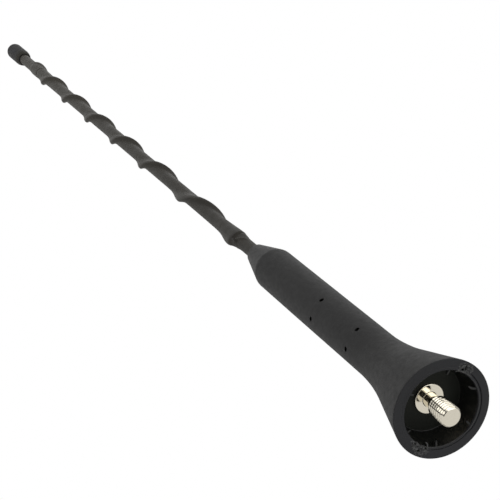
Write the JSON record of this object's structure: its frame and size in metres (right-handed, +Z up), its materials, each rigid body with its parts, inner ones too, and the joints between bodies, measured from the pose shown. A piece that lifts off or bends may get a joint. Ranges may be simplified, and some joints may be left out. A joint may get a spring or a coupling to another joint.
{
  "type": "car antenna",
  "caption": "Screw-in car roof antenna: black rubber foot with a flared cup around a metal screw stud, and a thin mast with a spiral rib and a round end cap.",
  "frame": {"origin": "on the mast's axis, in the plane of the foot's rim, inside the stud's screw", "axes": "+Z up the mast to its tip; the foot's mould parted in the XZ plane, so its pin holes run along Y; seen from -Y and below, as in the picture"},
  "size_m": [0.0236, 0.0236, 0.3974],
  "materials": {
    "boot_rubber": "matte, fine-grained",
    "plated_metal": "turned and plated, bright",
    "ferrule_metal": "plain, crimped",
    "glass_fibre": "pultruded, smooth",
    "copper_wire": "enamelled copper wire, close-wound",
    "cord_plastic": "plain",
    "tie_plastic": "plain",
    "mast_plastic": "matte, with the turns of the wire faintly showing",
    "cap_plastic": "matte, slightly smoother than the foot"
  },
  "bodies": {
    "root": {"boot": "boot_rubber", "threaded_stud": "plated_metal", "crimp_ferrule": "ferrule_metal", "core_rod": "glass_fibre", "wire_winding": "copper_wire", "spiral_cord": "cord_plastic", "cord_end_ties": "tie_plastic", "mast_sleeve": "mast_plastic", "tip_cap": "cap_plastic"}
  },
  "joints": []
}
